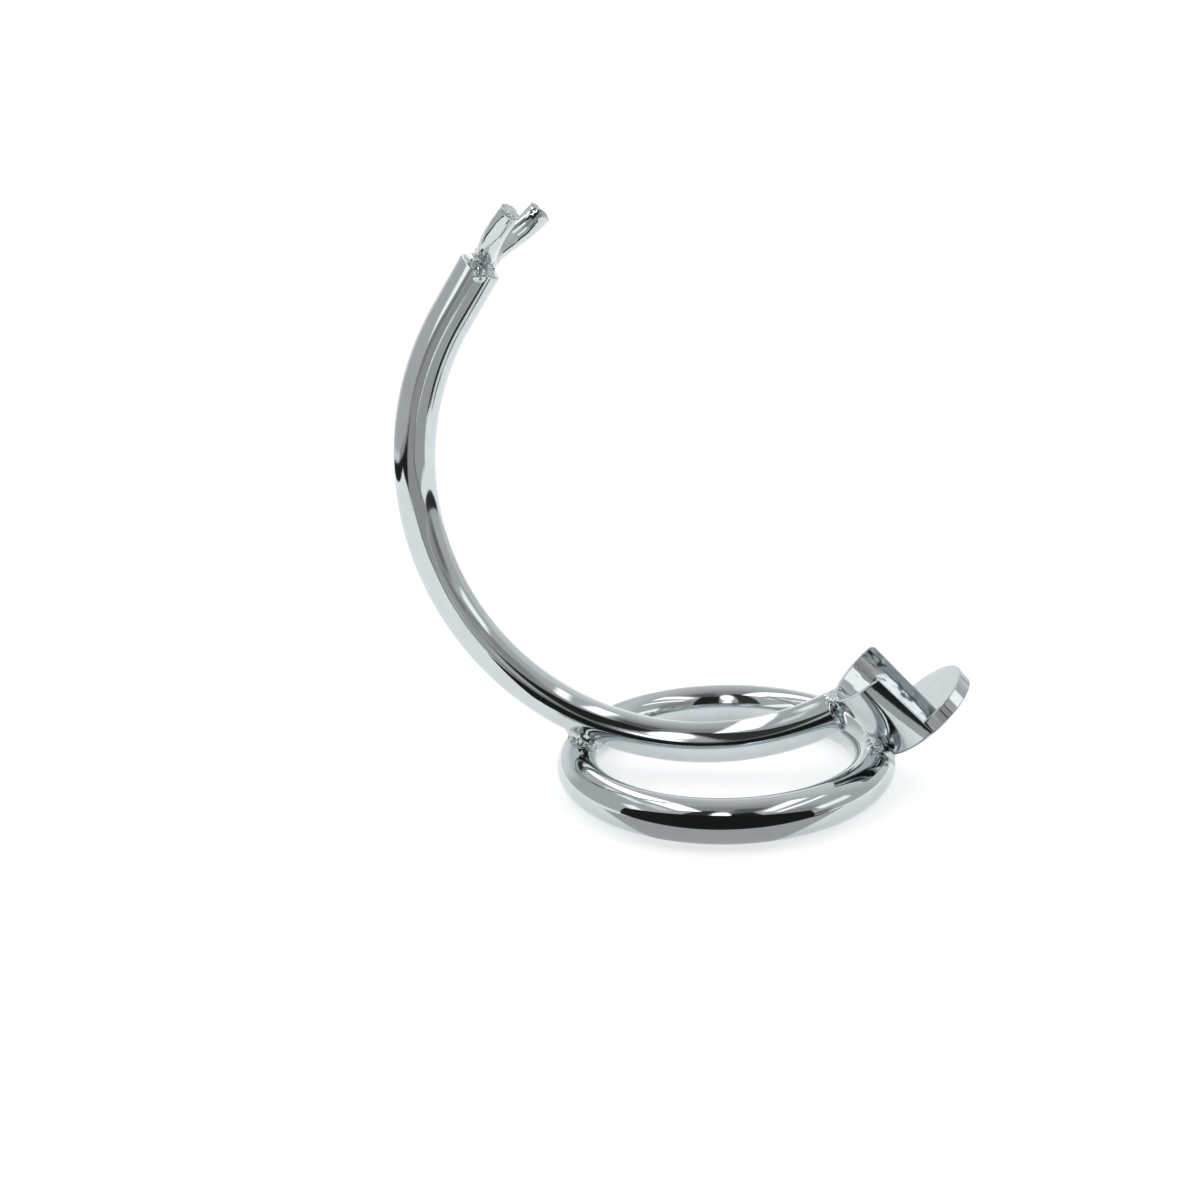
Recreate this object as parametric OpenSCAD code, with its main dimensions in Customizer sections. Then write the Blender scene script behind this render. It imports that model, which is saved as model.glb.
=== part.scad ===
// Bench-top razor stand: a round rod ring for a base, a C-shaped rod arm brazed across it,
// a two-prong fork on the arm's top end and an open half cup at its lower end.
// The handle's end sits in the cup and its neck leans in the fork.
// Millimetres, +Z up. The origin is the ring's centre on the table; the arm lies in the XZ plane.

/* [Rod] */
// Diameter of the rod that the ring and the arm are bent from
rod_d = 6; // [5:0.5:7]
// Chamfer on the arm's cut top end
rod_chamfer = 0.35; // [0.1:0.05:0.8]

/* [Base ring] */
// Radius of the ring's centre line
ring_r = 21.5; // [18:0.5:26]

/* [Arm] */
// Radius of the arm's centre line
arm_r = 39.5; // [36:0.5:44]
// How far the arm's bend centre lies to the left of the ring's centre
arm_shift = 3.4; // [1:0.1:6]
// Angle, seen from the front, where the bend ends and the straight top begins
arm_top_angle = 144.6; // [135:0.2:152]
// Length of the straight top
arm_tail = 8; // [5:0.5:14]
// How deep the arm is seated into the ring
arm_seat = 0.15; // [0.05:0.05:0.6]

/* [Cup] */
// Outside diameter of the cup
cup_d = 15.6; // [14:0.2:18]
// Wall thickness of the cup
cup_wall = 0.7; // [0.5:0.1:1.2]
// Length of the cup over its end disc
cup_len = 10.8; // [9:0.2:14]
// Thickness of the cup's end disc
cup_floor = 2.2; // [1.5:0.1:3.5]
// Slope of the cup's axis below the horizontal
cup_tilt = 47.5; // [42:0.5:52]
// Distance of the cup's mouth to the right of the ring's centre
cup_x = 21.46; // [20:0.02:23]
// Height of the middle of the cup's mouth
cup_z = 17.65; // [16.5:0.05:19]

/* [Fork] */
// Diameter of the prongs' wire
prong_d = 2.9; // [2.4:0.1:3.4]
// Lean of the fork above the horizontal
fork_tilt = 43.3; // [36:0.1:52]
// Angle between each prong's root and the middle of the fork
prong_splay = 58; // [50:1:64]
// Angle between each prong's tip and the middle of the fork
tip_splay = 14; // [8:1:30]
// Length of the prong's straight root
prong_root = 6.2; // [5:0.1:8]
// Bend radius of the prong
prong_bend_r = 9.4; // [6:0.2:11]
// Diameter of the stem between the arm and the prongs
stem_d = 3.6; // [3.2:0.1:4]
// Diameter of the stem's ball head
stem_ball_d = 3.9; // [3.7:0.1:4.4]
// Distance of the ball head's centre from the arm's end face
stem_h = 0.9; // [0.8:0.1:2.5]
// Diameter of the spigot that is pressed into the arm
spigot_d = 3; // [2:0.1:3.4]
// Length of the spigot
spigot_len = 5; // [3:0.5:7]

/* [Hidden] */
$fn = 96;
chrome = [0.80, 0.82, 0.84];
braze = [0.70, 0.72, 0.74];
eps = 0.01;
rod_r = rod_d / 2;
// The arm's bend centre is high enough for the rod to touch the ring's left side, less the seat
arm_x = -arm_shift;
arm_reach = arm_r + rod_d - arm_seat;
arm_z = rod_r + sqrt(arm_reach * arm_reach - (ring_r - arm_shift) * (ring_r - arm_shift));
// The bend runs on past the cup's wall, which cuts it
arm_low_angle = 304;
arm_lean = 180 - arm_top_angle;
arm_end_x = arm_x + arm_r * cos(arm_top_angle) + arm_tail * sin(arm_lean);
arm_end_z = arm_z + arm_r * sin(arm_top_angle) + arm_tail * cos(arm_lean);
cup_r = cup_d / 2;
// Angle on the arm's bend of the middle of its joint with the cup
joint_angle = 300.6;
// Where the arm touches the ring, as a direction from the ring's section to the bend centre
seat_angle = atan2(arm_z - rod_r, arm_x + ring_r);
// Run of the cut beyond the cup's mouth, so that the arm's end is coped over its whole width
cope_run = 10;
// Radii of the balls of filler metal that the joined pieces are cut from
cross_braze_r = 2.9;
arm_braze_r = 3.5;
crotch_braze_r = 1.2;
// Distance of the crotch fillet's centre from the ball head's centre
crotch_out = 2;
// The cup's filler metal is a short bar across the ring, at an angle round the ring's section
cup_braze_r = 2.3;
cup_braze_len = 9;
cup_seat_angle = 66;
stem_braze_d = 5.2;
stem_braze_h = 0.7;
// How far cutting shapes run past what they cut
past = 1;

// A point on the arm's bend, seen from the front
function bend(angle) = [arm_x + arm_r * cos(angle), 0, arm_z + arm_r * sin(angle)];

// Puts a child's +Z along the arm's top, starting at its end face
module at_arm_end() {
    translate([arm_end_x, 0, arm_end_z]) rotate([0, arm_lean, 0]) children();
}

// Puts a child's +Z down the cup's axis, starting at its mouth; +X is the cup's closed side
module at_cup() {
    translate([cup_x, 0, cup_z]) rotate([0, 90 + cup_tilt, 0]) children();
}

// Puts a child's +Z along the middle of the fork, starting at the ball head's centre
module at_fork() {
    at_arm_end() translate([0, 0, stem_h]) rotate([0, 90 - fork_tilt - arm_lean, 0]) children();
}

module ring_rod() {
    translate([0, 0, rod_r]) rotate_extrude($fn = 160) translate([ring_r, 0]) circle(r = rod_r);
}

// The whole bent rod before its lower end is coped and its top is drilled
module arm_rod() {
    translate([arm_x, 0, arm_z]) rotate([90, 0, 0]) rotate([0, 0, arm_top_angle]) {
        rotate_extrude(angle = arm_low_angle - arm_top_angle, $fn = 200)
            translate([arm_r, 0]) circle(r = rod_r);
        translate([arm_r, 0, 0]) rotate([90, 0, 0]) {
            cylinder(r = rod_r, h = arm_tail - rod_chamfer);
            translate([0, 0, arm_tail - rod_chamfer])
                cylinder(r1 = rod_r, r2 = rod_r - rod_chamfer, h = rod_chamfer);
        }
    }
}

// The cup's solid outer shape, run on past the mouth by a given length
module cup_outside(run = 0) {
    at_cup() translate([0, 0, -run]) cylinder(r = cup_r, h = cup_len + run);
}

module base_ring() {
    color(chrome) difference() {
        ring_rod();
        arm_rod();
        cup_outside();
    }
}

module arm() {
    color(chrome) difference() {
        arm_rod();
        cup_outside(cope_run);
        at_arm_end() translate([0, 0, -spigot_len])
            cylinder(d = spigot_d, h = spigot_len + past);
        ball_head();
    }
}

module ball_head() {
    at_fork() sphere(d = stem_ball_d);
}

module fork_stem() {
    color(chrome) {
        at_arm_end() {
            translate([0, 0, -spigot_len]) cylinder(d = spigot_d, h = spigot_len + eps);
            cylinder(d = stem_d, h = stem_h);
        }
        ball_head();
    }
}

// One prong as a bent wire in the fork's own frame, splayed towards +Y
module prong_wire() {
    rotate([90, 0, 90]) rotate([0, 0, -prong_splay])
        translate([-prong_bend_r, prong_root, 0]) {
            rotate_extrude(angle = prong_splay - tip_splay, $fn = 160)
                translate([prong_bend_r, 0]) circle(d = prong_d);
            translate([prong_bend_r, 0, 0]) rotate([90, 0, 0])
                cylinder(d = prong_d, h = prong_root);
        }
}

module prong_back() {
    color(chrome) difference() {
        at_fork() prong_wire();
        ball_head();
    }
}

module prong_front() {
    color(chrome) mirror([0, 1, 0]) difference() {
        at_fork() prong_wire();
        ball_head();
    }
}

module cup_trough() {
    wall_len = cup_len - cup_floor;
    color(chrome) at_cup() difference() {
        cylinder(r = cup_r, h = wall_len);
        translate([0, 0, -past]) cylinder(r = cup_r - cup_wall, h = wall_len + 2 * past);
        translate([-cup_d, -cup_d, -past]) cube([cup_d, 2 * cup_d, wall_len + 2 * past]);
    }
}

module cup_disc() {
    color(chrome) at_cup() translate([0, 0, cup_len - cup_floor])
        cylinder(r = cup_r, h = cup_floor);
}

// Filler metal where the arm crosses the ring's left side
module braze_arm_to_ring() {
    color(braze) difference() {
        translate([rod_r * cos(seat_angle) - ring_r, 0, rod_r + rod_r * sin(seat_angle)])
            sphere(r = cross_braze_r);
        ring_rod();
        arm_rod();
    }
}

// Filler metal where the cup's lower edge sits in its seat on the ring
module braze_cup_to_ring() {
    color(braze) difference() {
        translate([ring_r + rod_r * cos(cup_seat_angle), 0, rod_r + rod_r * sin(cup_seat_angle)])
            rotate([90, 0, 0]) cylinder(r = cup_braze_r, h = cup_braze_len, center = true);
        ring_rod();
        cup_outside();
    }
}

// Filler metal round the arm's coped lower end
module braze_arm_to_cup() {
    color(braze) difference() {
        translate(bend(joint_angle)) sphere(r = arm_braze_r);
        arm_rod();
        cup_outside(cope_run);
        ring_rod();
    }
}

// Filler metal round the stem on the arm's end face
module braze_stem() {
    color(braze) difference() {
        at_arm_end() cylinder(d1 = stem_braze_d, d2 = stem_d, h = stem_braze_h);
        at_arm_end() translate([0, 0, -past]) cylinder(d = stem_d, h = stem_braze_h + 2 * past);
        ball_head();
    }
}

// Filler metal in the crotch between the prongs
module braze_fork_crotch() {
    color(braze) difference() {
        at_fork() translate([0, 0, crotch_out]) sphere(r = crotch_braze_r);
        at_fork() prong_wire();
        mirror([0, 1, 0]) at_fork() prong_wire();
        ball_head();
    }
}

base_ring();
arm();
fork_stem();
prong_front();
prong_back();
cup_trough();
cup_disc();
braze_arm_to_ring();
braze_cup_to_ring();
braze_arm_to_cup();
braze_stem();
braze_fork_crotch();
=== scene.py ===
"""Razor stand in polished chrome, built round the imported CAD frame.

The stand is a round rod ring, a C-shaped rod arm, a two-prong fork and an open half cup, joined by
fillets of filler metal. Lengths are in millimetres until they reach Blender, which takes metres."""
import math

import bpy
import numpy as np
from mathutils import Matrix, Vector


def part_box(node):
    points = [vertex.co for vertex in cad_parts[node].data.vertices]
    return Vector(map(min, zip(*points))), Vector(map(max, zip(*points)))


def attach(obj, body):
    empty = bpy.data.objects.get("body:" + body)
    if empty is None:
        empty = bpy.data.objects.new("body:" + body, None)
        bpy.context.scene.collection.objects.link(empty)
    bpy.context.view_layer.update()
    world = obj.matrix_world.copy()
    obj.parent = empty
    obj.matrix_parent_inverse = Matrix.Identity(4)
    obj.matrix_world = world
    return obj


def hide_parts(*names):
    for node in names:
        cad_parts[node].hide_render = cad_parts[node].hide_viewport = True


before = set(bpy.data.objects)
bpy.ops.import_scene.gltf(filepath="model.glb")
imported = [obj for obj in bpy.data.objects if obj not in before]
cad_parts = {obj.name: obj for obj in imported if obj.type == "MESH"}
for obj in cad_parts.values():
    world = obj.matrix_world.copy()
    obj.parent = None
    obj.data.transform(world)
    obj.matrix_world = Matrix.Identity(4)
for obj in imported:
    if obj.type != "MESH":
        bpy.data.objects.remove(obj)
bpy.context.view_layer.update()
MM = 0.001

# ---------------------------------------------------------------- sizes
# As in the CAD model. The radii of the rod and the ring are read from the frame.
ring_lo, ring_hi = (np.array(corner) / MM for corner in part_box("base_ring"))
ROD_R = (ring_hi[2] - ring_lo[2]) / 2
RING_R = (ring_hi[0] - ring_lo[0]) / 2 - ROD_R
# The arm: its bend's radius, how far left the bend's centre lies, the angle at which the straight tail
# starts, the tail's length, and how deep the arm is sunk into the ring.
ARM_R = 39.5
ARM_SHIFT = 3.4
ARM_TOP = math.radians(144.6)
ARM_TAIL = 8.0
ARM_SEAT = 0.15
# The cup: its outer radius, wall, whole length, disc, the slope of its axis, and its mouth's middle.
CUP_R = 7.8
CUP_WALL = 0.7
CUP_LEN = 10.8
CUP_FLOOR = 2.2
CUP_TILT = math.radians(47.5)
CUP_MOUTH = np.array([21.46, 0.0, 17.65])
# The fork: its wire's radius, its slope, the prongs' splay at the root, the length of their straight
# roots, the radius of their bends, and how far above the arm's end they start.
PRONG_R = 1.45
FORK_TILT = math.radians(43.3)
PRONG_SPLAY = math.radians(58)
PRONG_ROOT = 6.2
PRONG_BEND_R = 9.4
STEM_H = 0.9

# Only in this model: softened edges, uneven walls and rough ends.
# The arm's top end has a round rim. Its low end is cut to the cup's wall, but goes no further round
# than ARM_LOW_STOP. The filler there follows a rod with a rounded end at ARM_LOW_FILL.
RIM_R = 0.45
ARM_CUT_R = CUP_R - 0.25
ARM_LOW_START = math.radians(284)
ARM_LOW_END = math.radians(316)
ARM_LOW_STOP = math.radians(299.3)
ARM_LOW_FILL = math.radians(300.4)
ARM_LOW_ROUND = 1.2
ARM_JOINT = math.radians(300.6)
# The cup's wall is a hair wider than its disc. Its inner face is hollow along one line below the far
# edge, and the near edge stands a little above the middle, more so at the disc than at the mouth.
WALL_OUT = 7.815
WALL_EDGE = 0.16
HOLLOW = 0.135
HOLLOW_AT = 0.51
HOLLOW_SPREAD = 0.16
NEAR_CORNER = 0.15
FAR_CORNER = 0.8
NEAR_RISE = (0.2, 0.4)
DISC_RIM = 0.22
# The prongs turn nearly parallel. They grow or shrink from their own radius to that of the tip.
TIP_SPLAY = math.radians(16)
NEAR_TIP_R = 1.35
FAR_TIP_R = 1.68
PRONG_RIM = 0.3
TIP_LUMPS = 0.06
BALL_R = 1.6
# A lump of filler on the arm's top end: how far its middle lies to the near side, below the end and
# towards the inside of the bend, and its radius.
LUMP_AT = (2.3, 0.9, 0.9)
LUMP_R = 1.0

# Places and directions worked out from the sizes.
SIDE = np.array([0.0, 1.0, 0.0])
ARM_REACH = ARM_R + 2 * ROD_R - ARM_SEAT
ARM_X = -ARM_SHIFT
ARM_Z = ROD_R + math.sqrt(ARM_REACH**2 - (RING_R - ARM_SHIFT) ** 2)
LEAN = math.pi - ARM_TOP
TAIL_DIR = np.array([math.sin(LEAN), 0, math.cos(LEAN)])
TAIL_SIDE = np.array([-math.cos(LEAN), 0, math.sin(LEAN)])
BEND_TOP = np.array([ARM_X + ARM_R * math.cos(ARM_TOP), 0, ARM_Z + ARM_R * math.sin(ARM_TOP)])
ARM_END = BEND_TOP + ARM_TAIL * TAIL_DIR
CUP_DIR = np.array([math.cos(CUP_TILT), 0, -math.sin(CUP_TILT)])
CUP_SHUT = np.array([-math.sin(CUP_TILT), 0, -math.cos(CUP_TILT)])
FORK_DIR = np.array([math.cos(FORK_TILT), 0, math.sin(FORK_TILT)])
FORK_UP = np.array([-math.sin(FORK_TILT), 0, math.cos(FORK_TILT)])
FORK_ROOT = ARM_END + STEM_H * TAIL_DIR


# ---------------------------------------------------------------- mesh helpers
def add_mesh(name, points, faces, normals=None):
    """A shown piece from points in millimetres. Smooth shaded, with exact normals if they are given."""
    mesh = bpy.data.meshes.new(name)
    mesh.from_pydata((np.asarray(points) * MM).tolist(), [], [tuple(f) for f in faces])
    mesh.validate()
    mesh.update()
    for polygon in mesh.polygons:
        polygon.use_smooth = True
    if normals is not None:
        mesh.normals_split_custom_set_from_vertices([Vector(n).normalized() for n in normals])
    piece = bpy.data.objects.new(name, mesh)
    bpy.context.scene.collection.objects.link(piece)
    return piece


def grid_faces(rows, cols, closed_rows=False):
    """Quads between rows of points. A row's last point joins its first, and with closed_rows the last
    row joins the first one."""
    faces = []
    for i in range(rows if closed_rows else rows - 1):
        here, there = i * cols, (i + 1) % rows * cols
        for j in range(cols):
            beyond = (j + 1) % cols
            faces.append((here + j, here + beyond, there + beyond, there + j))
    return faces


def wobble(points, size, wavelength, seed):
    """A smooth, repeatable scatter, mostly between -size and size, as a sum of plane waves."""
    rng = np.random.default_rng(seed)
    total = np.zeros(len(points))
    for _ in range(7):
        direction = rng.normal(size=3)
        direction *= 2 * math.pi / wavelength / np.linalg.norm(direction) * rng.uniform(0.6, 1.6)
        total += np.sin(points @ direction + rng.uniform(0, 2 * math.pi))
    return size * total / 4


def rows_to_mesh(name, rows):
    """A tube from rows of points, each end closed by a fan onto the row's middle."""
    count, cols = len(rows), len(rows[0])
    first_hub, last_hub, base = count * cols, count * cols + 1, (count - 1) * cols
    points = np.concatenate(rows + [[rows[0].mean(0)], [rows[-1].mean(0)]])
    faces = grid_faces(count, cols)
    faces += [(j, first_hub, (j + 1) % cols) for j in range(cols)]
    faces += [(base + j, base + (j + 1) % cols, last_hub) for j in range(cols)]
    return add_mesh(name, points, faces)


def lathe(name, profile, origin, axis, across, cols):
    """A turned piece: profile is [(radius, height along axis), ...] from the axis out and back."""
    third = np.cross(axis, across)
    angles = np.linspace(0, 2 * math.pi, cols, endpoint=False)
    rows = []
    for radius, height in profile:
        ring = origin + height * axis
        ring = ring + radius * (np.cos(angles)[:, None] * across + np.sin(angles)[:, None] * third)
        rows.append(ring)
    return rows_to_mesh(name, rows)


def round_corner(corner, start, end, radius, steps=6):
    """Points of a quarter round in a profile, at corner, from the side of start to the side of end."""
    corner, start, end = (np.array(v, float) for v in (corner, start, end))
    a = (start - corner) / np.linalg.norm(start - corner)
    b = (end - corner) / np.linalg.norm(end - corner)
    centre = corner + radius * (a + b)
    turns = np.linspace(0, math.pi / 2, steps)
    return [tuple(centre - radius * (b * math.cos(t) + a * math.sin(t))) for t in turns]


# ---------------------------------------------------------------- distances, for the fillets
def cup_frame(p):
    """How far points lie along the cup's axis, towards its closed side, and to the back."""
    q = p - CUP_MOUTH
    return q @ CUP_DIR, q @ CUP_SHUT, q[:, 1]


def ring_distance(p):
    """Distance to the base ring."""
    return np.hypot(np.hypot(p[:, 0], p[:, 1]) - RING_R, p[:, 2] - ROD_R) - ROD_R


def arm_distance(p):
    """Distance to the arm's bend, which is taken to run on past its ends."""
    return np.hypot(np.hypot(p[:, 0] - ARM_X, p[:, 2] - ARM_Z) - ARM_R, p[:, 1]) - ROD_R


def cup_distance(p):
    """Distance to the cup's solid outer shape."""
    along, shut, side = cup_frame(p)
    return np.maximum(np.hypot(shut, side) - CUP_R, np.maximum(along - CUP_LEN, -along))


def wall_distance(p):
    """Distance to the cup's half-round wall."""
    along, shut, side = cup_frame(p)
    sheet = np.abs(np.hypot(shut, side) - CUP_R + CUP_WALL / 2) - CUP_WALL / 2
    return np.maximum(np.maximum(sheet, -shut), np.maximum(-along, along - CUP_LEN))


def low_arm_distance(p):
    """Distance to the arm's bend with its rounded lower end."""
    turn = np.arctan2(p[:, 2] - ARM_Z, p[:, 0] - ARM_X) + 2 * math.pi
    past = (turn - ARM_LOW_FILL) * ARM_R
    return -blend_distance(-arm_distance(p), -past, ARM_LOW_ROUND)


def segment_distance(p, a, b, radius):
    """Distance to a round bar from a to b with ball ends."""
    ab = b - a
    t = np.clip((p - a) @ ab / (ab @ ab), 0, 1)
    return np.linalg.norm(p - a - t[:, None] * ab, axis=1) - radius


def stem_distance(p):
    """Distance to the stem and its ball."""
    return segment_distance(p, ARM_END - TAIL_DIR, FORK_ROOT, BALL_R)


def arm_end_distance(p):
    """Distance to the arm's top end, with a round lump of filler that has run over its near rim."""
    q = p - ARM_END
    along = q @ TAIL_DIR
    out = np.linalg.norm(q - along[:, None] * TAIL_DIR, axis=1)
    near, below, inwards = LUMP_AT
    lump = np.linalg.norm(q + near * SIDE + below * TAIL_DIR + inwards * TAIL_SIDE, axis=1) - LUMP_R
    return blend_distance(np.maximum(along, out - ROD_R + 0.3), lump, 0.5)


def prong_distance(side):
    """The distance to the straight root of a prong, as a function of points."""
    root = math.cos(PRONG_SPLAY) * FORK_DIR + side * math.sin(PRONG_SPLAY) * SIDE

    def distance(p):
        return segment_distance(p, FORK_ROOT, FORK_ROOT + PRONG_ROOT * root, PRONG_R)

    return distance


def outside_bore(p):
    """Negative outside the cup's bore, which is taken a little into the wall and the disc, so that no
    filler stands in it."""
    into_wall, into_disc = 0.1, 0.3
    along, shut, side = cup_frame(p)
    bore_end = CUP_LEN - CUP_FLOOR + into_disc
    return np.minimum(CUP_R - CUP_WALL + into_wall - np.hypot(shut, side), bore_end - along)


def blend_distance(a, b, width):
    """Smooth union: a concave fillet about as wide as width."""
    h = np.maximum(width - np.abs(a - b), 0) / width
    return np.minimum(a, b) - h * h * width / 4


def surface_net(distance, low, high, pitch):
    """Points and quads of the zero surface of distance in a box, drawn onto the surface exactly."""
    # Where the surface crosses the grid's lines, and the four cells round each crossed line.
    axes = [np.arange(lo, hi + pitch, pitch) for lo, hi in zip(low, high)]
    shape = tuple(len(a) for a in axes)
    nodes = np.stack(np.meshgrid(*axes, indexing="ij"), -1)
    value = distance(nodes.reshape(-1, 3)).reshape(shape)
    inside = value < 0
    cells = tuple(n - 1 for n in shape)
    total = np.zeros(cells + (3,))
    crossings = np.zeros(cells)
    pairs = []
    for axis in range(3):
        lo_cut = tuple(slice(0, -1) if k == axis else slice(None) for k in range(3))
        hi_cut = tuple(slice(1, None) if k == axis else slice(None) for k in range(3))
        crossed = inside[lo_cut] != inside[hi_cut]
        where = np.argwhere(crossed)
        v0, v1 = value[lo_cut][crossed], value[hi_cut][crossed]
        spot = nodes[lo_cut][crossed]
        spot[:, axis] += pitch * v0 / (v0 - v1)
        others = [k for k in range(3) if k != axis]
        around = []
        for du, dv in ((0, 0), (1, 0), (1, 1), (0, 1)):
            cell = where.copy()
            cell[:, others[0]] -= du
            cell[:, others[1]] -= dv
            around.append(cell)
            good = np.all((cell >= 0) & (cell < np.array(cells)), axis=1)
            key = tuple(cell[good].T)
            np.add.at(total, key, spot[good])
            np.add.at(crossings, key, 1)
        pairs.append((axis, around, v0 < 0))
    # One point in each crossed cell, and one quad round each crossed line.
    used = crossings > 0
    index = -np.ones(cells, int)
    index[used] = np.arange(used.sum())
    points = total[used] / crossings[used][:, None]
    faces = []
    for axis, around, starts_inside in pairs:
        ids = [index[tuple(np.clip(c, 0, np.array(cells) - 1).T)] for c in around]
        quads = np.stack(ids, 1)
        flip = starts_inside if axis != 1 else ~starts_inside
        quads[~flip] = quads[~flip][:, ::-1]
        faces.append(quads[(quads >= 0).all(1)])
    # Then the points move along the slope onto the surface.
    for _ in range(4):
        slope = gradient(distance, points)
        points = points - np.clip(distance(points), -pitch, pitch)[:, None] * slope
    return points, np.concatenate(faces), gradient(distance, points)


def gradient(distance, points, reach=2e-3):
    """Unit vectors straight out of the surface, from differences over a short reach."""
    steps = np.eye(3) * reach
    slope = np.stack([distance(points + s) - distance(points - s) for s in steps], 1)
    return slope / np.maximum(np.linalg.norm(slope, axis=1), 1e-9)[:, None]


# How far filler lies inside the pieces, the share of its width over which ripples fade in, the room
# round it in its grid, and the pitch of that grid, which is finer on the fork.
FEATHER = 0.012
PROUD = 0.12
MARGIN = 0.3
PITCH = 0.11
FINE_PITCH = 0.08


def fillet(name, first, second, width, centre, reach, bump, grain, seed, pitch=PITCH, keep=None):
    """Filler metal between two pieces: their smooth union within reach of centre, rippled by bump where
    it stands proud. It is a hair inside both pieces, so that it feathers into them. keep cuts it off
    where it is positive."""
    centre = np.asarray(centre, float)

    def distance(p):
        a, b = first(p), second(p)
        both = blend_distance(a, b, width)
        proud = np.clip((np.minimum(a, b) - both) / (PROUD * width), 0, 1)
        ripple = wobble(p, bump, grain, seed) * proud
        ball = np.linalg.norm(p - centre, axis=1) - reach
        shape = np.maximum(both + FEATHER - ripple, ball)
        return shape if keep is None else np.maximum(shape, keep(p))

    low, high = centre - reach - MARGIN, centre + reach + MARGIN
    points, faces, normals = surface_net(distance, low, high, pitch)
    return add_mesh(name, points, faces, normals)


# ---------------------------------------------------------------- base ring
def build_ring(rows=360, cols=72):
    """The base ring, a round rod in a full circle."""
    turn = np.linspace(0, 2 * math.pi, rows, endpoint=False)
    spins = np.linspace(0, 2 * math.pi, cols, endpoint=False)
    out = np.stack([np.cos(turn), np.sin(turn), np.zeros(rows)], 1)
    base = RING_R * out + [0, 0, ROD_R]
    points = []
    for centre, radial in zip(base, out):
        spoke = np.cos(spins)[:, None] * radial + np.sin(spins)[:, None] * [0, 0, 1]
        points.append(centre + ROD_R * spoke)
    points = np.concatenate(points)
    return add_mesh("ring_rod", points, grid_faces(rows, cols, closed_rows=True))


# ---------------------------------------------------------------- arm
def arm_point(angle, spin, radius):
    """Points on the arm's bend: angle round the bend, spin round the rod."""
    reach = ARM_R + radius * np.cos(spin)
    x = ARM_X + reach * np.cos(angle)
    z = ARM_Z + reach * np.sin(angle)
    return np.stack([x, radius * np.sin(spin) + 0 * x, z], -1)


def coped_angle(spin, radius):
    """The angle round the bend at which each line along the rod meets the cup's wall, or stops."""
    low = np.full(len(spin), ARM_LOW_START)
    high = np.full(len(spin), ARM_LOW_END)
    for _ in range(50):
        middle = (low + high) / 2
        along, shut, side = cup_frame(arm_point(middle, spin, radius))
        outside = np.hypot(shut, side) > ARM_CUT_R
        low, high = np.where(outside, middle, low), np.where(outside, high, middle)
    return np.minimum((low + high) / 2, ARM_LOW_STOP)


def build_arm(cols=72, bend_rows=300, end_rows=50):
    """The rod from the face of its top end, down the straight tail and round the bend to the cup."""
    spin = np.linspace(0, 2 * math.pi, cols, endpoint=False)
    tail_out = np.cos(spin)[:, None] * TAIL_SIDE + np.sin(spin)[:, None] * SIDE
    rows = []
    # Radius and depth below the top end: its face, its rim, and the side of the straight tail.
    face = [(r, 0.0) for r in (1.2, 1.9, ROD_R - RIM_R - 0.08, ROD_R - RIM_R)]
    rim = []
    for t in np.linspace(0.15, math.pi / 2, 8):
        rim.append((ROD_R - RIM_R * (1 - math.sin(t)), RIM_R * (1 - math.cos(t))))
    side = [(ROD_R, d) for d in np.linspace(RIM_R + 0.1, ARM_TAIL, 26)]
    for radius, depth in face + rim + side:
        rows.append(ARM_END - depth * TAIL_DIR + radius * tail_out)
    for angle in np.linspace(ARM_TOP, ARM_LOW_START, bend_rows)[1:]:
        rows.append(arm_point(angle, spin, ROD_R))
    last = coped_angle(spin, ROD_R)
    for share in np.linspace(0, 1, end_rows)[1:]:
        rows.append(arm_point(ARM_LOW_START + (last - ARM_LOW_START) * share, spin, ROD_R))
    # The face of the low end, inwards.
    for radius in (2.97, 2.9, 2.5, 1.8, 1.0, 0.4):
        rows.append(arm_point(coped_angle(spin, radius), spin, radius))
    return rows_to_mesh("arm_rod", rows)


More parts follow.
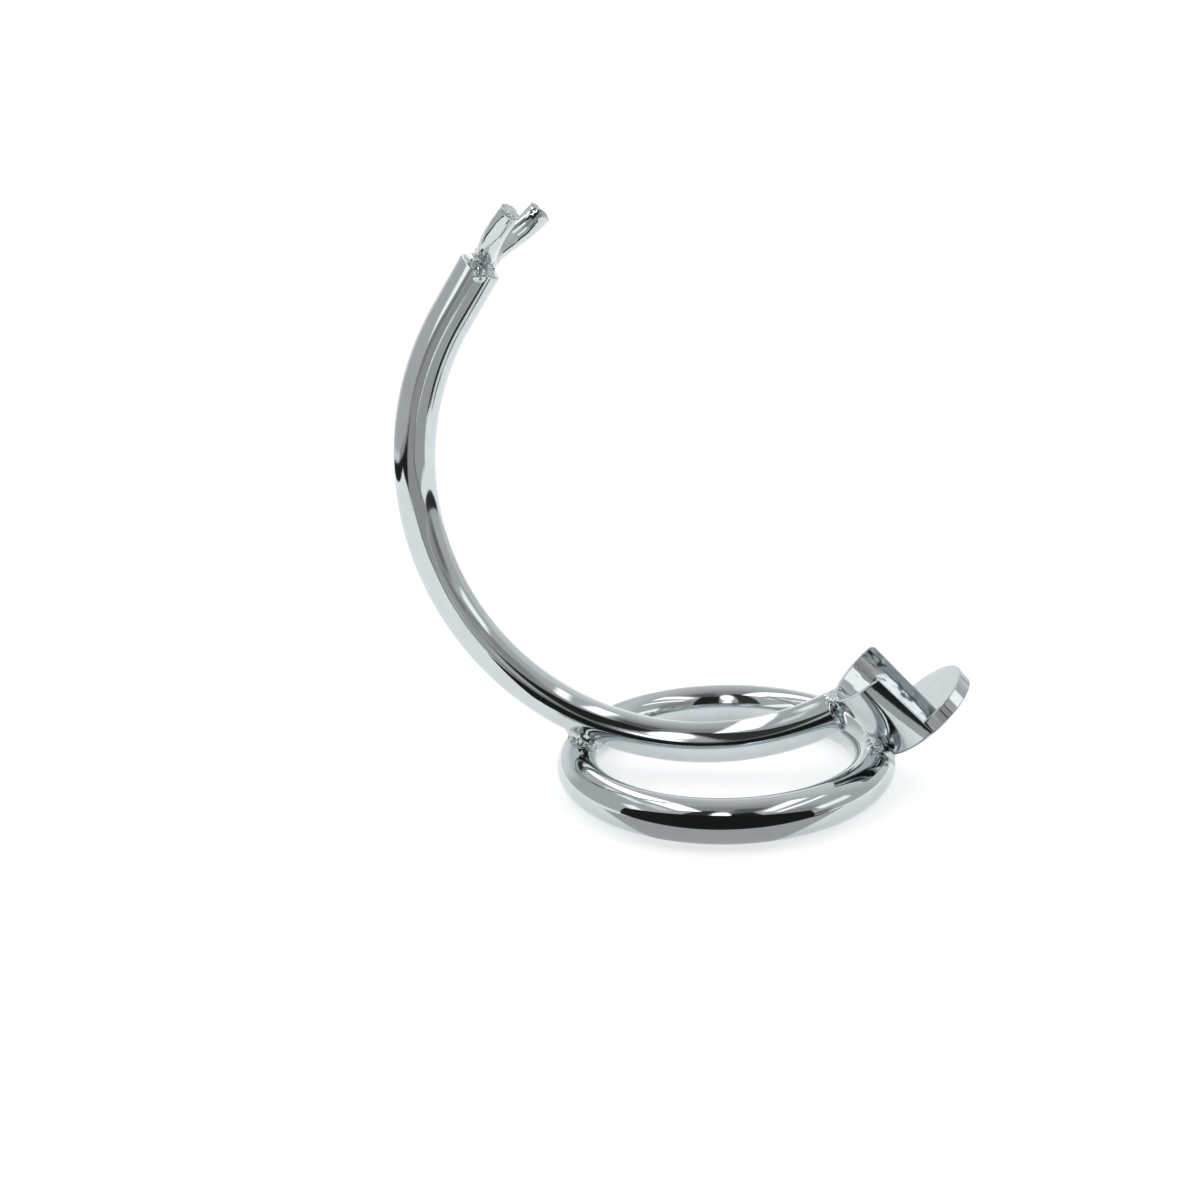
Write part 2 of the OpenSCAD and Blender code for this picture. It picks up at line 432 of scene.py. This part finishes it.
# ---------------------------------------------------------------- fork
def build_prong(name, side, tip_r, seed, cols=56):
    """A bent wire with a rough cut tip. side is 1 for the prong at +Y, -1 for the other."""
    straight, bend = 20, 60
    spin = np.linspace(0, 2 * math.pi, cols, endpoint=False)
    away = side * SIDE
    root = math.cos(PRONG_SPLAY) * FORK_DIR + math.sin(PRONG_SPLAY) * away
    path = [(FORK_ROOT + s * root, PRONG_SPLAY) for s in np.linspace(0.2, PRONG_ROOT, straight)[:-1]]
    inner = FORK_ROOT + PRONG_ROOT * root
    inner = inner + PRONG_BEND_R * (math.sin(PRONG_SPLAY) * FORK_DIR - math.cos(PRONG_SPLAY) * away)
    for turn in np.linspace(PRONG_SPLAY, TIP_SPLAY, bend):
        path.append((inner + PRONG_BEND_R * (math.cos(turn) * away - math.sin(turn) * FORK_DIR), turn))

    def ring(centre, turn, radius):
        normal = math.cos(turn) * away - math.sin(turn) * FORK_DIR
        return centre + radius * (np.cos(spin)[:, None] * normal + np.sin(spin)[:, None] * FORK_UP)

    # The wire, a little uneven all along and lumpy towards its tip.
    rows = []
    for k, (centre, turn) in enumerate(path[:-3]):
        taper = min(max((k - straight) / (0.75 * bend), 0), 1)
        row = ring(centre, turn, PRONG_R + (tip_r - PRONG_R) * taper)
        lumps = TIP_LUMPS * min(max((k - len(path)) / (bend / 2) + 1, 0), 1)
        swell = wobble(row, 0.02, 2.6, seed) + wobble(row, lumps, 1.1, seed + 20)
        rows.append(row + swell[:, None] * ring(0 * centre, turn, 1.0))
    # The tip: radius, and depth behind its end, of the flared rim and the rough face.
    tip, turn = path[-1]
    ahead = math.cos(turn) * FORK_DIR + math.sin(turn) * away
    flare = 0.1
    ends = [(tip_r + flare / 2, -PRONG_RIM - 0.12), (tip_r + flare, -PRONG_RIM)]
    for t in np.linspace(0.2, math.pi / 2, 8):
        ends.append((tip_r + flare - PRONG_RIM * (1 - math.cos(t)), -PRONG_RIM * (1 - math.sin(t))))
    ends += [(share * (tip_r - PRONG_RIM), 0.0) for share in (0.93, 0.8, 0.65, 0.5, 0.35, 0.2, 0.08)]
    for radius, depth in ends:
        row = ring(tip, turn, radius) + depth * ahead
        rough = wobble(row, 0.1, 0.9, seed) + wobble(row, 0.045, 0.45, seed + 50)
        rows.append(row + rough[:, None] * (ahead + 0.5 * ring(0 * tip, turn, 1.0)))
    return rows_to_mesh(name, rows)


def build_stem():
    """The stem's neck and its ball head, as one turned piece."""
    turns = np.linspace(0, math.pi / 2 - 0.05, 20)
    profile = [(0.4, -1.5), (BALL_R, -1.5), (BALL_R, -1.2), (BALL_R, -0.6)]
    profile += [(BALL_R * math.cos(t), STEM_H + BALL_R * math.sin(t)) for t in turns]
    return lathe("stem_head", profile, ARM_END, TAIL_DIR, SIDE, cols=64)


# ---------------------------------------------------------------- cup
def build_trough(arc_cols=130, rows_along=50):
    """Half-round wall with softened edges, run on round the disc. Its inner face is uneven."""
    quarter = np.linspace(0, math.pi / 2, 7)
    # Depth from the mouth, and how much thinner each face of the wall is at its softened edge.
    stations = [(WALL_EDGE * (1 - math.sin(t)), WALL_EDGE * (1 - math.cos(t))) for t in quarter[::-1]]
    stations += [(d, 0.0) for d in np.linspace(WALL_EDGE + 0.04, 1.3, 14)]
    stations += [(d, 0.0) for d in np.linspace(1.45, CUP_LEN - DISC_RIM - 0.02, rows_along)]
    rows = []
    for depth, inset in stations:
        outer, inner = WALL_OUT - inset, CUP_R - CUP_WALL + inset
        fine = max(WALL_EDGE - inset, 1e-4)
        ends = []
        near_rise = NEAR_RISE[0] + NEAR_RISE[1] * depth / CUP_LEN
        # How far round the wall goes on each side, less at the mouth, where its corners are rounded.
        for corner, rise in ((NEAR_CORNER, near_rise), (FAR_CORNER, 0.0)):
            cut = corner - math.sqrt(corner**2 - max(corner - depth, 0) ** 2)
            ends.append(math.pi / 2 - (WALL_EDGE + cut - rise) / CUP_R)
        sweep = np.linspace(-ends[0], ends[1], arc_cols)
        arc = np.stack([np.sin(sweep), np.cos(sweep)], 1)
        here = CUP_MOUTH + depth * CUP_DIR
        on_wall = here + inner * (arc[:, :1] * SIDE + arc[:, 1:] * CUP_SHUT)
        dents = wobble(on_wall, 0.022, 2.2, 21) + wobble(on_wall, 0.008, 0.9, 22)
        hollow = HOLLOW * np.exp(-(((math.pi / 2 - sweep - HOLLOW_AT) / HOLLOW_SPREAD) ** 2))
        face = (inner + dents + hollow)[:, None] * arc
        # The section: outer face, far edge, inner face and near edge, with a quarter round at each turn.
        turn = np.stack([1 - np.cos(quarter), np.sin(quarter)], 1) * fine
        far_out, near_out = outer * arc[-1] - turn, outer * arc[0] - turn * [-1, 1]
        far_in, near_in = face[-1] + turn * [1, -1], face[0] + turn * [-1, -1]
        loop = [outer * arc, far_out[1:], far_in[::-1][:-1], face[::-1], near_in[1:], near_out[::-1][:-1]]
        loop = np.concatenate(loop)
        rows.append(here + loop[:, :1] * SIDE + loop[:, 1:] * CUP_SHUT)
    cols = len(rows[0])
    faces = grid_faces(len(rows), cols)
    edge_cols = (cols - 2 * arc_cols) // 2
    # Each end of the wall is closed by quads across it, and one face at each edge.
    for first in (0, (len(rows) - 1) * cols):
        side = 1 if first == 0 else -1
        inner_last = first + 2 * arc_cols + edge_cols - 1
        for i in range(arc_cols - 1):
            quad = (first + i, first + i + 1, inner_last - i - 1, inner_last - i)
            faces.append(quad[::side])
        far_edge = [first + arc_cols - 1 + k for k in range(edge_cols + 2)]
        near_edge = [inner_last + k for k in range(edge_cols + 1)] + [first]
        faces += [tuple(far_edge[::-side]), tuple(near_edge[::-side])]
    return add_mesh("cup_wall", np.concatenate(rows), faces)


def build_disc():
    """The cup's end disc, with a fine bevel on both rims."""
    top, bottom, rim = CUP_LEN - CUP_FLOOR, CUP_LEN, DISC_RIM
    profile = [(0.5, top), (2.0, top), (4.5, top), (CUP_R - rim - 0.1, top)]
    profile += round_corner((CUP_R, top), (0, top), (CUP_R, bottom), rim)
    profile += [(CUP_R, top + rim + 0.1), (CUP_R, bottom - rim - 0.1)]
    profile += round_corner((CUP_R, bottom), (CUP_R, top), (0, bottom), rim)
    profile += [(CUP_R - rim - 0.1, bottom), (4.5, bottom), (2.0, bottom), (0.5, bottom)]
    return lathe("cup_end", profile, CUP_MOUTH, CUP_DIR, SIDE, cols=160)


# ---------------------------------------------------------------- materials
def chrome(name, tint, rough, wave, wave_size, scratch, pits=0.0):
    """Polished plate: smudges and fine scratches in the roughness, a faint waviness in the surface, and
    pits if their depth is given. wave and wave_size are the waves' height and length in millimetres."""
    material = bpy.data.materials.new(name)
    material.use_nodes = True
    tree = material.node_tree
    tree.nodes.clear()
    new, link = tree.nodes.new, tree.links.new
    out = new("ShaderNodeOutputMaterial")
    shader = new("ShaderNodeBsdfPrincipled")
    link(shader.outputs["BSDF"], out.inputs["Surface"])
    shader.inputs["Metallic"].default_value = 1.0
    place = new("ShaderNodeTexCoord")

    def noise(scale, detail=2.0, roughness=0.5):
        node = new("ShaderNodeTexNoise")
        node.inputs["Scale"].default_value = scale
        node.inputs["Detail"].default_value = detail
        node.inputs["Roughness"].default_value = roughness
        link(place.outputs["Object"], node.inputs["Vector"])
        return node.outputs["Fac"]

    def remap(value, low, high, to_low, to_high):
        node = new("ShaderNodeMapRange")
        link(value, node.inputs["Value"])
        for key, number in zip(("From Min", "From Max", "To Min", "To Max"), (low, high, to_low, to_high)):
            node.inputs[key].default_value = number
        return node.outputs["Result"]

    # Smudges about 4 mm across tint and dull the plate.
    smudge = noise(260, 4.0, 0.6)
    ramp = new("ShaderNodeMix")
    ramp.data_type = "RGBA"
    link(remap(smudge, 0.35, 0.7, 0.0, 1.0), ramp.inputs["Factor"])
    ramp.inputs["A"].default_value = (*tint, 1)
    ramp.inputs["B"].default_value = (*[0.94 * c for c in tint], 1)
    link(ramp.outputs["Result"], shader.inputs["Base Color"])

    # Scratches about 0.1 mm wide and 1 mm long.
    stretch = new("ShaderNodeMapping")
    stretch.inputs["Scale"].default_value = (1.0, 0.12, 1.0)
    stretch.inputs["Rotation"].default_value = (0.4, 0.7, 0.3)
    link(place.outputs["Object"], stretch.inputs["Vector"])
    lines = new("ShaderNodeTexNoise")
    lines.inputs["Scale"].default_value = 9000
    lines.inputs["Detail"].default_value = 3.0
    link(stretch.outputs["Vector"], lines.inputs["Vector"])
    rough_mix = new("ShaderNodeMath")
    rough_mix.operation = "ADD"
    link(remap(smudge, 0.4, 0.75, rough, rough + 0.05), rough_mix.inputs[0])
    link(remap(lines.outputs["Fac"], 0.62, 0.8, 0.0, scratch), rough_mix.inputs[1])
    link(rough_mix.outputs["Value"], shader.inputs["Roughness"])

    # Waves, and pits under a millimetre apart.
    waves = new("ShaderNodeBump")
    waves.inputs["Strength"].default_value = 1.0
    waves.inputs["Distance"].default_value = wave * MM
    link(noise(1000 / wave_size, 1.5), waves.inputs["Height"])
    last = waves
    if pits:
        fine = new("ShaderNodeBump")
        fine.inputs["Strength"].default_value = 1.0
        fine.inputs["Distance"].default_value = pits * MM
        link(noise(1400, 3.0, 0.6), fine.inputs["Height"])
        link(waves.outputs["Normal"], fine.inputs["Normal"])
        last = fine
    link(last.outputs["Normal"], shader.inputs["Normal"])
    return material


# ---------------------------------------------------------------- build
arm = build_arm()
ring = build_ring()
prong_front = build_prong("prong_wire_front", -1, NEAR_TIP_R, 11)
prong_back = build_prong("prong_wire_back", 1, FAR_TIP_R, 12)
stem = build_stem()
trough = build_trough()
disc = build_disc()

# Filler at each joint. The arm leans on the left of the ring, and the cup on its right.
seat = math.atan2(ARM_Z - ROD_R, RING_R - ARM_SHIFT)
cross_at = np.array([ROD_R * math.cos(seat) - RING_R, 0, ROD_R + ROD_R * math.sin(seat)])
braze_cross = fillet(
    "braze_cross", ring_distance, arm_distance, 2.2, cross_at, reach=3.6, bump=0.10, grain=1.5, seed=3
)
cup_at = np.array([RING_R + 1.1, 0, 5.5])
arm_joint = arm_point(np.array([ARM_JOINT]), np.array([0.0]), 0.0)[0]
braze_cup = fillet(
    "braze_cup", ring_distance, cup_distance, 2.0, cup_at, reach=4.6, bump=0.10, grain=1.4, seed=4,
    keep=outside_bore,
)
braze_arm = fillet(
    "braze_arm", low_arm_distance, wall_distance, 1.5, arm_joint, reach=4.3, bump=0.12, grain=1.6, seed=5,
    keep=outside_bore,
)
braze_neck = fillet(
    "braze_neck", stem_distance, arm_end_distance, 1.6, ARM_END, reach=3.9, bump=0.09, grain=1.2, seed=6,
    pitch=FINE_PITCH,
)
crotch_at = FORK_ROOT + 1.6 * FORK_DIR
near_root, far_root = prong_distance(-1), prong_distance(1)
braze_crotch = fillet(
    "braze_crotch", near_root, far_root, 1.5, crotch_at, reach=2.3, bump=0.05, grain=1.0, seed=7,
    pitch=FINE_PITCH,
)

# After the tint: roughness, the waves' height and length, and the roughness of the scratches.
PLATE = (0.57, 0.615, 0.63)
rod_plate = chrome("rod_plate", PLATE, 0.035, 0.045, 9.0, 0.05, pits=0.0013)
cup_plate = chrome("cup_plate", PLATE, 0.05, 0.02, 5.0, 0.06, pits=0.003)
fork_plate = chrome("fork_plate", PLATE, 0.04, 0.06, 3.0, 0.06, pits=0.005)
neck_plate = chrome("neck_plate", PLATE, 0.05, 0.02, 1.8, 0.06, pits=0.002)
bead_plate = chrome("bead_plate", PLATE, 0.04, 0.04, 1.3, 0.06, pits=0.007)

pieces = [
    (ring, "base_ring", "chrome_rod", rod_plate),
    (arm, "arm", "chrome_rod", rod_plate),
    (stem, "fork_stem", "chrome_fork", fork_plate),
    (prong_front, "prong_front", "chrome_fork", fork_plate),
    (prong_back, "prong_back", "chrome_fork", fork_plate),
    (trough, "cup_trough", "chrome_cup", cup_plate),
    (disc, "cup_disc", "chrome_cup", cup_plate),
    (braze_cross, "braze_arm_to_ring", "chrome_braze", bead_plate),
    (braze_cup, "braze_cup_to_ring", "chrome_braze", bead_plate),
    (braze_arm, "braze_arm_to_cup", "chrome_braze", bead_plate),
    (braze_neck, "braze_stem", "chrome_braze", neck_plate),
    (braze_crotch, "braze_fork_crotch", "chrome_braze", neck_plate),
]
for piece, node, slot, material in pieces:
    piece.data.materials.append(material)
    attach(piece, "root")
    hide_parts(node)


# ---------------------------------------------------------------- studio
def plain(name, color, glow):
    """A matt material with a little light of its own."""
    material = bpy.data.materials.new(name)
    material.use_nodes = True
    shader = material.node_tree.nodes["Principled BSDF"]
    shader.inputs["Base Color"].default_value = (*color, 1)
    shader.inputs["Roughness"].default_value = 0.9
    shader.inputs["Specular IOR Level"].default_value = 0.0
    shader.inputs["Emission Color"].default_value = (1, 1, 1, 1)
    shader.inputs["Emission Strength"].default_value = glow
    return material


def soft_card(name, tone, soft):
    """A flat tone that fades out towards the card's edges. soft is a share of the card's size."""
    material = bpy.data.materials.new(name)
    material.use_nodes = True
    nodes, link = material.node_tree.nodes, material.node_tree.links.new
    nodes.clear()
    axes = nodes.new("ShaderNodeSeparateXYZ")
    link(nodes.new("ShaderNodeTexCoord").outputs["Generated"], axes.inputs[0])
    share = None
    for axis in ("X", "Y"):
        away = nodes.new("ShaderNodeMath")
        away.operation = "PINGPONG"
        away.inputs[1].default_value = 0.5
        link(axes.outputs[axis], away.inputs[0])
        fade = nodes.new("ShaderNodeMapRange")
        fade.interpolation_type = "SMOOTHSTEP"
        fade.inputs["From Max"].default_value = soft
        link(away.outputs[0], fade.inputs["Value"])
        if share is None:
            share = fade.outputs["Result"]
        else:
            both = nodes.new("ShaderNodeMath")
            both.operation = "MULTIPLY"
            link(share, both.inputs[0])
            link(fade.outputs["Result"], both.inputs[1])
            share = both.outputs[0]
    glow = nodes.new("ShaderNodeEmission")
    glow.inputs["Color"].default_value = (tone, tone, tone, 1)
    mix = nodes.new("ShaderNodeMixShader")
    link(share, mix.inputs[0])
    link(nodes.new("ShaderNodeBsdfTransparent").outputs[0], mix.inputs[1])
    link(glow.outputs[0], mix.inputs[2])
    link(mix.outputs[0], nodes.new("ShaderNodeOutputMaterial").inputs["Surface"])
    return material


def stage_box(name, low, high, material, reflected_only=False):
    """A box of the set. With reflected_only it is seen in the chrome and nowhere else."""
    corners = [(x, y, z) for x in (low[0], high[0]) for y in (low[1], high[1]) for z in (low[2], high[2])]
    faces = [(0, 1, 3, 2), (4, 6, 7, 5), (0, 4, 5, 1), (2, 3, 7, 6), (0, 2, 6, 4), (1, 5, 7, 3)]
    # Without height it is one face that looks up.
    if low[2] == high[2]:
        corners, faces = corners[::2], [(0, 2, 3, 1)]
    mesh = bpy.data.meshes.new(name)
    mesh.from_pydata([tuple(np.array(c) * MM) for c in corners], [], faces)
    box = bpy.data.objects.new(name, mesh)
    bpy.context.scene.collection.objects.link(box)
    mesh.materials.append(material)
    if reflected_only:
        box.visible_camera = box.visible_diffuse = box.visible_shadow = False


# The floor, and the dark past its near edge.
stage_box("white_board", (-305, -206, 0), (240, 420, 0), plain("board_white", (0.93, 0.935, 0.94), 0.46))
stage_box("dark_edge", (-120, -213, 0.6), (200, -206, 0.6), plain("edge_dark", (0.03, 0.03, 0.03), 0.0), True)
# A dark bar with a foot stands in for the razor's handle, which the chrome mirrors. Its near-black tone is
# the dark wood with painted shade for the handle's back, which lies in shade, and the low foot is the
# handle's end with its painted contact shadow on the table.
handle_dark_and_shade = plain("handle_dark_and_shade", (0.02, 0.02, 0.02), 0.0)
stage_box("dark_bar", (-35, -40, 1.0), (33.5, -31.5, 15), handle_dark_and_shade, True)
stage_box("handle_end_and_shadow", (33.5, -36, 0.5), (52, -31.5, 2.0), handle_dark_and_shade, True)
# Painted shadow on the table between the stand and the camera, seen only in the chrome, in two grey cards:
# the wide one for the shade that falls there from the camera's side, the near one for the shadow of the
# razor's handle.
stage_box("front_shadow_card", (-12, -230, 0.3), (140, -36, 0.3), soft_card("front_shadow_tone", 0.5, 0.12), True)
stage_box("handle_shadow_card", (-30, -52, 0.4), (60, -21.5, 0.4), soft_card("handle_shadow_tone", 0.52, 0.02), True)

# Radiances of the room, the ground and the backdrop.
ROOM = 0.60
OVERHEAD_DIM = 0.1
GROUND_BACK = 0.9
GROUND_FRONT = 0.42
GROUND_RIGHT = 0.03
GROUND_LEFT = 0.02
BACKDROP = 1.05

world = bpy.data.worlds.new("studio")
bpy.context.scene.world = world
world.use_nodes = True
tree = world.node_tree
tree.nodes.clear()


def socket(node_type, setup, *inputs):
    """Adds a node, sets its properties, links or fills its inputs, and returns its first output."""
    node = tree.nodes.new(node_type)
    for key, value in setup.items():
        setattr(node, key, value)
    for slot_in, value in zip(node.inputs, inputs):
        if isinstance(value, bpy.types.NodeSocket):
            tree.links.new(value, slot_in)
        else:
            slot_in.default_value = value
    return node.outputs[0]


def math_node(operation, *inputs):
    """The result of a sum on sockets and numbers."""
    return socket("ShaderNodeMath", {"operation": operation}, *inputs)


def dot(a, b):
    """The dot product of a socket and a fixed vector."""
    node = tree.nodes.new("ShaderNodeVectorMath")
    node.operation = "DOT_PRODUCT"
    tree.links.new(a, node.inputs[0])
    node.inputs[1].default_value = b
    return node.outputs["Value"]


def step(value, low, high):
    """Goes smoothly from 0 at low to 1 at high, which may be the smaller of the two."""
    node = tree.nodes.new("ShaderNodeMapRange")
    node.interpolation_type = "SMOOTHSTEP"
    tree.links.new(value, node.inputs["Value"])
    node.inputs["From Min"].default_value = min(low, high)
    node.inputs["From Max"].default_value = max(low, high)
    node.inputs["To Min"].default_value = 0.0 if low < high else 1.0
    node.inputs["To Max"].default_value = 1.0 if low < high else 0.0
    return node.outputs["Result"]


# The direction in which the world is seen, and how far up it points.
toward = tree.nodes.new("ShaderNodeTexCoord").outputs["Generated"]
height = dot(toward, (0, 0, 1))


def over(under, value, mask):
    """value painted over under where mask is 1."""
    kept = math_node("MULTIPLY", under, math_node("SUBTRACT", 1.0, mask))
    return math_node("ADD", kept, math_node("MULTIPLY", value, mask))


def card(azimuth, elevation, half_width, half_height, soft, roll=0.0, oval=False):
    """Mask of a flat panel. Azimuth 0 is behind the stand, 90 on its right, 180 by the camera.
    Half sizes and softness are tangents, as seen from the stand. It is rectangular unless oval is set."""
    a, e = math.radians(azimuth), math.radians(elevation)
    middle = Vector((math.sin(a) * math.cos(e), math.cos(a) * math.cos(e), math.sin(e)))
    wide = Vector((math.cos(a), -math.sin(a), 0))
    tall = middle.cross(wide) * -1
    r = math.radians(roll)
    wide, tall = wide * math.cos(r) + tall * math.sin(r), tall * math.cos(r) - wide * math.sin(r)
    facing = dot(toward, middle)
    u = math_node("ABSOLUTE", math_node("DIVIDE", dot(toward, wide), facing))
    v = math_node("ABSOLUTE", math_node("DIVIDE", dot(toward, tall), facing))
    if oval:
        share = soft / half_width
        u_part = math_node("POWER", math_node("DIVIDE", u, half_width), 2.0)
        v_part = math_node("POWER", math_node("DIVIDE", v, half_height), 2.0)
        mask = step(math_node("ADD", u_part, v_part), 1 + share, 1 - share)
    else:
        across = step(u, half_width + soft, half_width - soft)
        mask = math_node("MULTIPLY", across, step(v, half_height + soft, half_height - soft))
    return math_node("MULTIPLY", mask, step(facing, 0.0, 0.05))


def ceiling(x0, x1, y0, y1, soft, slant=0.0):
    """Mask of a panel overhead, in units of its height: x to the right, y away from the camera.
    Its sides lean by slant, which is how far x goes for each y."""
    up = math_node("MAXIMUM", height, 0.02)
    x = math_node("DIVIDE", dot(toward, (1, 0, 0)), up)
    y = math_node("DIVIDE", dot(toward, (0, 1, 0)), up)
    x = math_node("SUBTRACT", x, math_node("MULTIPLY", y, slant))
    in_x = math_node("MULTIPLY", step(x, x0 - soft, x0 + soft), step(x, x1 + soft, x1 - soft))
    in_y = math_node("MULTIPLY", step(y, y0 - soft, y0 + soft), step(y, y1 + soft, y1 - soft))
    return math_node("MULTIPLY", math_node("MULTIPLY", in_x, in_y), step(height, 0.02, 0.06))


def upright(az0, az1, el0, el1, soft):
    """Mask of an upright panel in front of the stand, between two azimuths near 180 and two heights."""
    nearer = math_node("MAXIMUM", dot(toward, (0, -1, 0)), 0.01)
    across = math_node("DIVIDE", dot(toward, (1, 0, 0)), nearer)
    right = math.tan(math.radians(180 - az0))
    left = math.tan(math.radians(180 - az1))
    low, high = math.sin(math.radians(el0)), math.sin(math.radians(el1))
    right_of_left = step(across, left - soft, left + soft)
    sides = math_node("MULTIPLY", right_of_left, step(across, right + soft, right - soft))
    ends = math_node("MULTIPLY", step(height, low - 0.05, low + 0.05), step(height, high + 0.02, high - 0.02))
    return math_node("MULTIPLY", math_node("MULTIPLY", sides, ends), step(nearer, 0.012, 0.03))


def beside(azimuth, reach):
    """Mask of the directions within reach degrees of an azimuth, near the horizon."""
    a = math.radians(azimuth)
    edge = math.cos(math.radians(reach))
    return step(dot(toward, (math.sin(a), math.cos(a), 0)), edge - 0.04, edge + 0.04)


# The room's even tone, a little darker straight overhead.
light = math_node("SUBTRACT", ROOM, math_node("MULTIPLY", step(height, 0.9, 0.99), OVERHEAD_DIM))
# Each panel's mask and radiance. Later ones are painted over earlier ones.
PANELS = [
    # Soft daylight behind the stand.
    (card(30, 22, 0.55, 0.65, 0.35), 0.86),
    (card(5, 10, 0.18, 0.30, 0.15), 1.15),
    (card(325, 8, 0.45, 0.25, 0.2), 0.95),
    (card(350, 0, 0.16, 0.12, 0.1), 1.25),
    # On the right: dim shapes, a bright window, and three thin dark posts.
    (card(128, 34, 0.30, 0.22, 0.12), 0.36),
    (card(118, 3, 0.22, 0.12, 0.08), 0.22),
    (card(140, 8, 0.22, 0.2, 0.06), 0.4),
    (card(99, 24, 0.21, 0.11, 0.03), 1.45),
    (card(139.6, 8.4, 0.02, 0.08, 0.015), 0.04),
    (card(128.6, 18, 0.02, 0.08, 0.015), 0.08),
    (card(42, 10, 0.03, 0.12, 0.02), 0.25),
    # Dim low shapes and a thin post on the side of the camera.
    (card(183, 12, 0.24, 0.22, 0.05), 0.24),
    (card(205, 1, 0.16, 0.10, 0.05), 0.3),
    (card(160, 2, 0.022, 0.14, 0.015), 0.2),
    # A dim ceiling, with a darker part towards the camera.
    (ceiling(-0.22, 0.30, -0.45, 0.15, 0.06), 0.38),
    (ceiling(0.07, 0.30, -0.50, -0.06, 0.05), 0.15),
    # Dark uprights to the right and left of the camera.
    (upright(147, 172, 17, 63, 0.03), 0.025),
    (upright(190, 211, 19, 76, 0.03), 0.05),
    # Strip lights overhead, three on the left and two on the right.
    (ceiling(-0.43, -0.21, -0.34, 3.0, 0.02, -0.12), 2.2),
    (ceiling(-0.66, -0.5, -0.5, -0.05, 0.03), 1.0),
    (ceiling(-0.76, -0.62, -0.1, 0.7, 0.04), 1.3),
    (ceiling(0.33, 0.46, -0.46, 0.36, 0.03, -0.107), 2.0),
    (ceiling(0.60, 0.70, -0.6, 0.3, 0.03), 1.9),
    # A bright oval between the uprights, a small card under it, and a slanted strip on their left.
    (card(180, 50, 0.085, 0.35, 0.02, oval=True), 2.0),
    (card(179.5, 25, 0.065, 0.085, 0.02), 2.2),
    (card(231, 24, 0.42, 0.08, 0.03, roll=42), 1.5),
]
for mask, radiance in PANELS:
    light = over(light, radiance, mask)
# Below the horizon the ground is light behind, grey towards the camera, and dark on both sides.
ground = over(GROUND_BACK, GROUND_FRONT, step(dot(toward, (0, -1, 0)), 0.2, 0.4))
ground = over(ground, GROUND_RIGHT, beside(87, 36))
light = over(light, ground, step(height, -0.072, -0.088))
light = over(light, GROUND_LEFT, math_node("MULTIPLY", beside(252, 50), step(height, -0.105, -0.12)))
# The camera itself sees a plain white backdrop.
seen_directly = tree.nodes.new("ShaderNodeLightPath").outputs["Is Camera Ray"]
light = over(light, BACKDROP, seen_directly)
tone = socket("ShaderNodeCombineColor", {}, light, light, light)
background = tree.nodes.new("ShaderNodeBackground")
tree.links.new(tone, background.inputs["Color"])
background.inputs["Strength"].default_value = 1.0
tree.links.new(background.outputs["Background"], tree.nodes.new("ShaderNodeOutputWorld").inputs["Surface"])

# ---------------------------------------------------------------- camera
CAMERA_AT = (14.25, -176.11, 78.79)
LOOK_LEFT, LOOK_DOWN, ROLL = (math.radians(d) for d in (10.11, 16.20, -3.12))
flat = math.cos(LOOK_DOWN)
ahead = Vector((-math.sin(LOOK_LEFT) * flat, math.cos(LOOK_LEFT) * flat, -math.sin(LOOK_DOWN)))
level = Vector((math.cos(LOOK_LEFT), math.sin(LOOK_LEFT), 0))
above = level.cross(ahead)
right = math.cos(ROLL) * level + math.sin(ROLL) * above
up = math.cos(ROLL) * above - math.sin(ROLL) * level
camera_data = bpy.data.cameras.new("camera")
camera_data.sensor_width = 36
camera_data.lens = 39
camera_data.clip_start, camera_data.clip_end = 0.01, 10
camera = bpy.data.objects.new("camera", camera_data)
bpy.context.scene.collection.objects.link(camera)
turn = Matrix((right, up, -ahead)).transposed().to_4x4()
camera.matrix_world = Matrix.Translation(Vector(CAMERA_AT) * MM) @ turn
bpy.context.scene.camera = camera
bpy.context.scene.view_settings.view_transform = "Standard"
